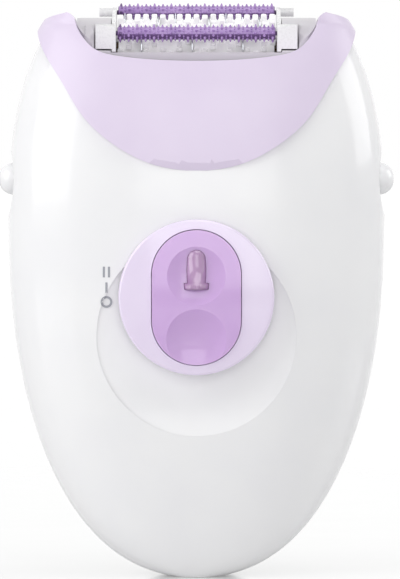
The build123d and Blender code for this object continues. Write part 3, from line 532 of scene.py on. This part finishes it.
@dataclass
class MouldedSkins:
    """The outer skins: the CAD's own faces, welded, with the normals the polished forms have.

    A pair called floor gives y and z, and one called radii gives the level and the upright curve.
    A pair called scoop gives how deep the hollow sinks and the height of its middle.
    """

    smooth_angle_deg: float = 32.0
    switch_z_mm: float = 56.2
    disc_front_mm: float = -23.5
    window_front_mm: float = -24.0
    dish_floor_mm: tuple[float, float] = (-17.5, 48.4)
    dish_radii_mm: tuple[float, float] = (647.0, 134.0)
    dish_lean_deg: float = 4.1
    front_bulge_mm: float = 90.0
    scoop_radius_mm: float = 17.0
    thumb_scoop_mm: tuple[float, float] = (1.7, 46.6)
    lamp_scoop_mm: tuple[float, float] = (1.3, 61.2)
    housing_near_mm: float = 0.12
    collar_near_mm: float = 0.45
    switch_near_mm: float = 0.03
    facing_least: float = 0.9
    weld_mm: float = 0.002
    plain_nodes: tuple[str, ...] = (
        "switch_lamp", "release_button_right", "release_button_left", "head_frame", "head_cover_right",
        "head_cover_left", "roller_frame", "head_seat", "inlet_socket", "inlet_pins", "housing_screws",
        "drum_axle", "release_spring_right", "release_spring_left",
    )

    def formed_nodes(self) -> dict[str, tuple[float, tuple[EggForm | Ball | Trough, ...]]]:
        """The nodes whose faces follow known forms.

        Returns:
            Node name to how near a face lies to its form in millimetres, and the forms.
        """
        lean = math.radians(self.dish_lean_deg)
        level, upright = self.dish_radii_mm
        floor_y, floor_z = self.dish_floor_mm
        dish_y = floor_y - (level - upright) - upright * math.cos(lean)
        dish_centre = (0.0, dish_y, floor_z - upright * math.sin(lean))
        dish = Trough(dish_centre, level - upright, upright)
        scoops = (self.scoop(self.thumb_scoop_mm), self.scoop(self.lamp_scoop_mm))
        return {
            "front_housing": (self.housing_near_mm, (EggForm(), dish)),
            "rear_housing": (self.housing_near_mm, (EggForm(),)),
            "collar": (self.collar_near_mm, (EggForm(collar=True),)),
            "switch_disc": (self.switch_near_mm, (self.bulge(self.disc_front_mm),)),
            "switch_window": (self.switch_near_mm, (*scoops, self.bulge(self.window_front_mm))),
        }

    def bulge(self, front_mm: float) -> Ball:
        """The slightly domed front of the disc or the window.

        Args:
            front_mm: the y of its foremost point.

        Returns:
            The spherical face.
        """
        return Ball((0, front_mm + self.front_bulge_mm, self.switch_z_mm), self.front_bulge_mm)

    def scoop(self, sink_and_height_mm: tuple[float, float]) -> Ball:
        """A round hollow in the window.

        Args:
            sink_and_height_mm: how deep it sinks, and the height of its middle.

        Returns:
            The spherical face.
        """
        sink, height = sink_and_height_mm
        return Ball((0, self.window_front_mm + sink - self.scoop_radius_mm, height), -self.scoop_radius_mm)

    def welded(self, node: str) -> bpy.types.Object:
        """Make a welded, smoothly shaded piece from a CAD node.

        Args:
            node: the CAD node.

        Returns:
            The piece, which stands for the node.
        """
        source = frame["nodes"][node]
        shape = bmesh.new()
        shape.from_mesh(source.data)
        bmesh.ops.remove_doubles(shape, verts=shape.verts[:], dist=self.weld_mm * MM)
        slot_name = SLOT_OF_NODE[node]
        piece = new_piece(node + "_skin", shape, source["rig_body"], slot_name, FINISH_OF_SLOT[slot_name])
        piece.data.shade_smooth()
        piece.data.set_sharp_from_angle(angle=math.radians(self.smooth_angle_deg))
        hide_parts(node)
        return piece

    def polish(
        self, piece: bpy.types.Object, near_mm: float, forms: tuple[EggForm | Ball | Trough, ...]
    ) -> None:
        """Set the forms' own normals on the corners of each face that lies on one of them.

        Args:
            piece: the welded skin.
            near_mm: how far from a form a corner may lie and still be on it.
            forms: the forms; a face takes the one that it faces most nearly.
        """
        mesh = piece.data
        known = [[form.normal(vertex.co / MM) for form in forms] for vertex in mesh.vertices]
        normals = [Vector(corner.vector) for corner in mesh.corner_normals]
        for face in mesh.polygons:
            best, best_facing = None, self.facing_least
            for index in range(len(forms)):
                fits = [known[vertex][index] for vertex in face.vertices]
                facing = min(direction.dot(face.normal) for direction, _distance in fits)
                if facing > best_facing and all(distance < near_mm for _direction, distance in fits):
                    best, best_facing = fits, facing
            if best:
                for loop, (direction, _distance) in zip(face.loop_indices, best):
                    normals[loop] = direction
        mesh.normals_split_custom_set([tuple(n) for n in normals])

    def build(self) -> None:
        """Make every skin."""
        for node, (near_mm, forms) in self.formed_nodes().items():
            self.polish(self.welded(node), near_mm, forms)
        for node in self.plain_nodes:
            self.welded(node)


# ---- head detail ----


@dataclass
class MassageRoller:
    """A violet roller: staggered rings of pointed studs, with rings of low bumps between them, on a core
    painted darker as the shade between them.
    """

    node: str
    body: str
    rings: int = 19
    studs: int = 8
    pitch_mm: float = 1.68
    core_radius_mm: float = 1.25
    tip_radius_mm: float = 1.82
    stud_radius_mm: float = 0.32
    bump_radius_mm: float = 0.22
    bump_tip_mm: float = 1.52
    journals_mm: float = 3.4
    journal_radius_mm: float = 0.45
    rim_round_mm: float = 0.15
    sunk_mm: float = 0.25
    point_radius_mm: float = 0.1
    foot_flare: float = 1.3
    smooth_angle_deg: float = 38.0

    def build(self) -> None:
        """Make the roller where its CAD node lies."""
        low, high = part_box(self.node)
        middle = (Vector(low) + Vector(high)) / 2
        length = high[0] - low[0]
        barrel = length - self.journals_mm * MM
        shape = bmesh.new()
        turn = Matrix.Rotation(math.pi / 2, 4, "Y")
        place = Matrix.Translation(middle) @ turn
        bmesh.ops.create_cone(
            shape, cap_ends=True, segments=40, radius1=self.core_radius_mm * MM,
            radius2=self.core_radius_mm * MM, depth=barrel, matrix=place,
        )
        rims = [
            edge for edge in shape.edges
            if edge.calc_length() < 1 * MM and abs(edge.verts[0].co.x - edge.verts[1].co.x) < 1e-6
        ]
        bmesh.ops.bevel(
            shape, geom=rims, offset=self.rim_round_mm * MM, segments=2, profile=0.5, affect="EDGES",
            material=-1, clamp_overlap=True,
        )
        bmesh.ops.create_cone(
            shape, cap_ends=True, segments=20, radius1=self.journal_radius_mm * MM,
            radius2=self.journal_radius_mm * MM, depth=length, matrix=place,
        )
        core_faces = len(shape.faces)
        # Rings of tall studs and rings of twice as many low bumps take turns.
        for ring in range(2 * self.rings - 1):
            x = (ring / 2 - (self.rings - 1) / 2) * self.pitch_mm
            if ring % 2:
                count, phase = 2 * self.studs, 0.25
                tip, foot = self.bump_tip_mm, self.bump_radius_mm
            else:
                count, phase = self.studs, 0.5 * (ring // 2 % 2)
                tip, foot = self.tip_radius_mm, self.stud_radius_mm
            for stud in range(count):
                turned = 2 * math.pi * (stud + phase) / count
                self.stud(shape, middle + Vector((x * MM, 0, 0)), turned, tip, foot)
        shape.faces.ensure_lookup_table()
        # The core and journals take the darker finish: painted shade between the studs.
        for face in shape.faces[:core_faces]:
            face.material_index = 1
        name = self.node + "_studded"
        piece = new_piece(name, shape, self.body, "roller_violet", VIOLET_ABS, VIOLET_CORE_PAINTED_SHADE)
        piece.data.shade_smooth()
        piece.data.set_sharp_from_angle(angle=math.radians(self.smooth_angle_deg))
        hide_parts(self.node)

    def stud(
        self, shape: bmesh.types.BMesh, centre: Vector, angle: float, tip_mm: float, foot_mm: float
    ) -> None:
        """Add one pointed stud or bump.

        Args:
            shape: the bmesh it joins.
            centre: the roller's axis at this ring.
            angle: the stud's turn about the axis, in radians.
            tip_mm: the tip's distance from the axis.
            foot_mm: the foot's radius.
        """
        height = (tip_mm - self.core_radius_mm + self.sunk_mm) * MM
        out = Matrix.Translation((0, 0, (self.core_radius_mm - self.sunk_mm) * MM + height / 2))
        bmesh.ops.create_cone(
            shape, cap_ends=True, segments=7, radius1=foot_mm * self.foot_flare * MM,
            radius2=self.point_radius_mm * MM, depth=height,
            matrix=Matrix.Translation(centre) @ Matrix.Rotation(angle, 4, "X") @ out,
        )


@dataclass
class TweezerDrum:
    """The white drum: stacked rings of slotted, rounded fingers at uneven turns, on a root painted grey as
    the shade between them; the nylon carries a faint painted glow.
    """

    node: str = "tweezer_drum"
    body: str = "drum"
    rings: int = 19
    pitch_mm: float = 1.68
    finger_thickness_mm: float = 1.15
    finger_width_mm: float = 2.2
    slot_mm: float = 0.2
    fingers: int = 9
    root_radius_mm: float = 5.4
    tip_radius_mm: float = 7.0
    end_gap_mm: float = 0.2
    root_overlap_mm: float = 0.8
    tip_gap_mm: float = 0.02
    finger_round_mm: float = 0.26
    smooth_angle_deg: float = 40.0
    turns_deg: tuple[float, ...] = (0, 17, 31, 9, 23, 3, 35, 13, 27, 6)

    def build(self) -> None:
        """Make the drum where its CAD node lies."""
        low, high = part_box(self.node)
        axis = Vector((0, (low[1] + high[1]) / 2, (low[2] + high[2]) / 2))
        shape = bmesh.new()
        place = Matrix.Translation(axis) @ Matrix.Rotation(math.pi / 2, 4, "Y")
        bmesh.ops.create_cone(
            shape, cap_ends=True, segments=64, radius1=self.root_radius_mm * MM,
            radius2=self.root_radius_mm * MM, depth=high[0] - low[0] - 2 * self.end_gap_mm * MM,
            matrix=place,
        )
        root_faces = len(shape.faces)
        height = self.tip_radius_mm - self.root_radius_mm + self.root_overlap_mm
        for ring in range(self.rings):
            x = (ring - (self.rings - 1) / 2) * self.pitch_mm * MM
            turn = math.radians(self.turns_deg[ring % len(self.turns_deg)])
            for finger in range(self.fingers):
                # A finger stands half a pitch from the notch the CAD cuts at this turn.
                angle = turn + 2 * math.pi * (finger + 0.5) / self.fingers
                for side in (-1, 1):
                    lean = side * (self.finger_width_mm + self.slot_mm) / 4 / self.tip_radius_mm
                    self.finger(shape, axis + Vector((x, 0, 0)), angle + lean, height)
        shape.faces.ensure_lookup_table()
        # The root takes the greyer finish: painted shade between the fingers.
        for face in shape.faces[:root_faces]:
            face.material_index = 1
        name = self.node + "_fingers"
        piece = new_piece(name, shape, self.body, "drum_white", DRUM_NYLON_PAINTED_GLOW, ROOT_PAINTED_SHADE)
        piece.data.shade_smooth()
        piece.data.set_sharp_from_angle(angle=math.radians(self.smooth_angle_deg))
        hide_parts(self.node)

    def finger(self, shape: bmesh.types.BMesh, centre: Vector, angle: float, height_mm: float) -> None:
        """Add one half of a rounded, slotted finger.

        Args:
            shape: the bmesh it joins.
            centre: the drum axis at this ring.
            angle: the half finger's turn about the axis, in radians.
            height_mm: how tall it is, root overlap included.
        """
        width = (self.finger_width_mm - self.slot_mm) / 2
        size = Matrix.Diagonal((self.finger_thickness_mm * MM, width * MM, height_mm * MM, 1))
        out = Matrix.Translation((0, 0, (self.tip_radius_mm - self.tip_gap_mm - height_mm / 2) * MM))
        made = bmesh.ops.create_cube(
            shape, size=1.0,
            matrix=Matrix.Translation(centre) @ Matrix.Rotation(-angle, 4, "X") @ out @ size,
        )
        edges = {e for v in made["verts"] for e in v.link_edges}
        bmesh.ops.bevel(
            shape, geom=list(edges), offset=self.finger_round_mm * MM, segments=3, profile=0.5,
            affect="EDGES", material=-1, clamp_overlap=True,
        )


@dataclass
class SwitchMarks:
    """The printed I, II and O beside the switch, laid on the moulding."""

    x_mm: float = -17.7
    stroke_mm: float = 0.42
    letter_height_mm: float = 2.1
    bar_gap_mm: float = 1.0
    ring_radius_mm: float = 0.95
    heights_mm: tuple[float, ...] = (61.1, 58.0, 55.2)
    ink_mm: float = 0.06
    ink_spread: float = 1.6
    missed_y_m: float = -0.018
    ray_start_y_m: float = -0.1

    def laid(self, shape: bmesh.types.BMesh, name: str) -> None:
        """Lay a flat mark on the front housing and give it the ink's thickness.

        Args:
            shape: the mark, flat in the XZ plane.
            name: the piece's name.
        """
        housing = frame["nodes"]["front_housing"].data
        corners = [vertex.co for vertex in housing.vertices]
        tree = BVHTree.FromPolygons(corners, [face.vertices for face in housing.polygons])
        for vertex in shape.verts:
            start = Vector((vertex.co.x, self.ray_start_y_m, vertex.co.z))
            hit, _normal, _face, _distance = tree.ray_cast(start, Vector((0, 1, 0)))
            vertex.co.y = (hit.y if hit else self.missed_y_m) - self.ink_mm * MM
        bmesh.ops.recalc_face_normals(shape, faces=shape.faces[:])
        bmesh.ops.solidify(shape, geom=shape.faces[:], thickness=self.ink_mm * self.ink_spread * MM)
        bmesh.ops.recalc_face_normals(shape, faces=shape.faces[:])
        new_piece(name, shape, "handle", "body_white", GREY_INK)

    def bar(self, shape: bmesh.types.BMesh, x_mm: float, z_mm: float) -> None:
        """Add one upright bar.

        Args:
            shape: the bmesh it joins.
            x_mm: its middle, across.
            z_mm: its middle, up.
        """
        size = Matrix.Diagonal((self.stroke_mm * MM / 2, self.letter_height_mm * MM / 2, 1, 1))
        stand = Matrix.Translation((x_mm * MM, 0, z_mm * MM)) @ Matrix.Rotation(math.pi / 2, 4, "X")
        bmesh.ops.create_grid(shape, x_segments=2, y_segments=8, size=1.0, matrix=stand @ size)

    def build(self) -> None:
        """Print the three marks."""
        two = bmesh.new()
        for side in (-0.5, 0.5):
            self.bar(two, self.x_mm + side * self.bar_gap_mm, self.heights_mm[0])
        self.laid(two, "mark_two_bars")
        one = bmesh.new()
        self.bar(one, self.x_mm, self.heights_mm[1])
        self.laid(one, "mark_one_bar")
        ring = bmesh.new()
        centre = Vector((self.x_mm * MM, 0, self.heights_mm[2] * MM))
        inner = self.ring_radius_mm - self.stroke_mm / 2
        reaches = [inner * MM, (inner + self.stroke_mm) * MM]
        seeds = [ring.verts.new(centre + Vector((0, 0, reach))) for reach in reaches]
        line = ring.edges.new(seeds)
        bmesh.ops.spin(
            ring, geom=[line, *seeds], cent=centre, axis=(0, 1, 0), angle=2 * math.pi, steps=36,
            use_merge=True,
        )
        self.laid(ring, "mark_ring")


# ---- everything else keeps its CAD shape ----


def dress_cad_nodes() -> None:
    """Give every CAD node its finish, shown or not."""
    for node, thing in frame["nodes"].items():
        dress(thing, FINISH_OF_SLOT[SLOT_OF_NODE[node]])
    log.info("%d nodes dressed", len(frame["nodes"]))


# ---- studio ----


@dataclass
class Studio:
    """A glossy floor, soft lights, a white room that is dimmer to the right, and a long lens."""

    distance_m: float = 1.1
    elevation_deg: float = 2.0
    view_height_m: float = 0.1158
    sensor_mm: float = 36.0
    room_light: float = 0.47
    right_share: float = 0.5
    floor_half_size_m: float = 6.0
    floor_z_m: float = -0.00005
    aim: tuple[float, float, float] = (0.0007, 0.0, 0.057)
    lamps: tuple[tuple[str, tuple[float, float, float], float, float], ...] = (
        ("key_left", (-0.95, -0.45, 0.5), 0.9, 5.4),
        ("top", (0.15, -0.25, 0.95), 0.7, 2.8),
        ("front_soft", (0.1, -1.5, 0.5), 0.9, 4.0),
        ("rim_right", (0.9, 0.1, 0.45), 0.6, 2.4),
    )

    def camera(self) -> None:
        """Set up the camera at the viewing angle."""
        data = bpy.data.cameras.new("camera")
        data.sensor_width = self.sensor_mm
        data.lens = self.sensor_mm * self.distance_m / self.view_height_m
        data.clip_start = 0.01
        data.clip_end = 50.0
        eye = bpy.data.objects.new("camera", data)
        bpy.context.scene.collection.objects.link(eye)
        tilt = math.radians(self.elevation_deg)
        aim = Vector(self.aim)
        eye.location = aim + Vector((0, -math.cos(tilt), math.sin(tilt))) * self.distance_m
        eye.rotation_euler = (aim - eye.location).to_track_quat("-Z", "Y").to_euler()
        bpy.context.scene.camera = eye

    def lights(self) -> None:
        """Hang the soft boxes and set the white room."""
        for name, place, size, power in self.lamps:
            data = bpy.data.lights.new(name, "AREA")
            data.shape = "SQUARE"
            data.size = size
            data.energy = power
            lamp = bpy.data.objects.new(name, data)
            bpy.context.scene.collection.objects.link(lamp)
            lamp.location = place
            lamp.rotation_euler = (Vector(self.aim) - Vector(place)).to_track_quat("-Z", "Y").to_euler()
        world = bpy.data.worlds.new("white room")
        bpy.context.scene.world = world
        world.use_nodes = True
        tree = world.node_tree
        tree.nodes.clear()
        place = add_node(tree, "ShaderNodeTexCoord")
        split = add_node(tree, "ShaderNodeSeparateXYZ", links={"Vector": place.outputs["Generated"]})
        across = add_node(
            tree,
            "ShaderNodeMapRange",
            {"From Min": -1.0, "From Max": 1.0, "To Min": 1.0, "To Max": self.right_share},
            {"Value": split.outputs["X"]},
        )
        soft = add_node(tree, "ShaderNodeBackground", links={"Color": across.outputs["Result"]})
        soft.inputs["Strength"].default_value = self.room_light
        white = add_node(tree, "ShaderNodeBackground", {"Color": (1, 1, 1, 1), "Strength": 1.0})
        path = add_node(tree, "ShaderNodeLightPath")
        mix = add_node(tree, "ShaderNodeMixShader", links={"Fac": path.outputs["Is Diffuse Ray"]})
        tree.links.new(white.outputs["Background"], mix.inputs[1])
        tree.links.new(soft.outputs["Background"], mix.inputs[2])
        add_node(tree, "ShaderNodeOutputWorld", links={"Surface": mix.outputs["Shader"]})

    def floor(self) -> None:
        """Lay the glossy floor."""
        shape = bmesh.new()
        bmesh.ops.create_grid(shape, x_segments=1, y_segments=1, size=self.floor_half_size_m)
        mesh = bpy.data.meshes.new("floor")
        shape.to_mesh(mesh)
        shape.free()
        plane = bpy.data.objects.new("floor", mesh)
        plane.location = (0, 0, self.floor_z_m)
        bpy.context.scene.collection.objects.link(plane)
        sheet = Finish(
            "white acrylic sheet", "#D4D4D4", "#D4D4D4", 0.08, 0.01, emission=0.16, grain_mm=30.0,
            grain_depth_mm=0.0,
        )
        dress(plane, sheet)

    def build(self) -> None:
        """Make the whole studio."""
        self.camera()
        self.lights()
        self.floor()
        bpy.context.scene.view_settings.view_transform = "Standard"


def main() -> None:
    """Build the looks in order."""
    logging.basicConfig(level=logging.INFO, format="%(message)s")
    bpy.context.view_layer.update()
    Studio().build()
    dress_cad_nodes()
    MouldedSkins().build()
    MassageRoller("front_roller", "front_roller_body").build()
    MassageRoller("rear_roller", "rear_roller_body").build()
    TweezerDrum().build()
    SwitchMarks().build()


if __name__ == "__main__":
    main()
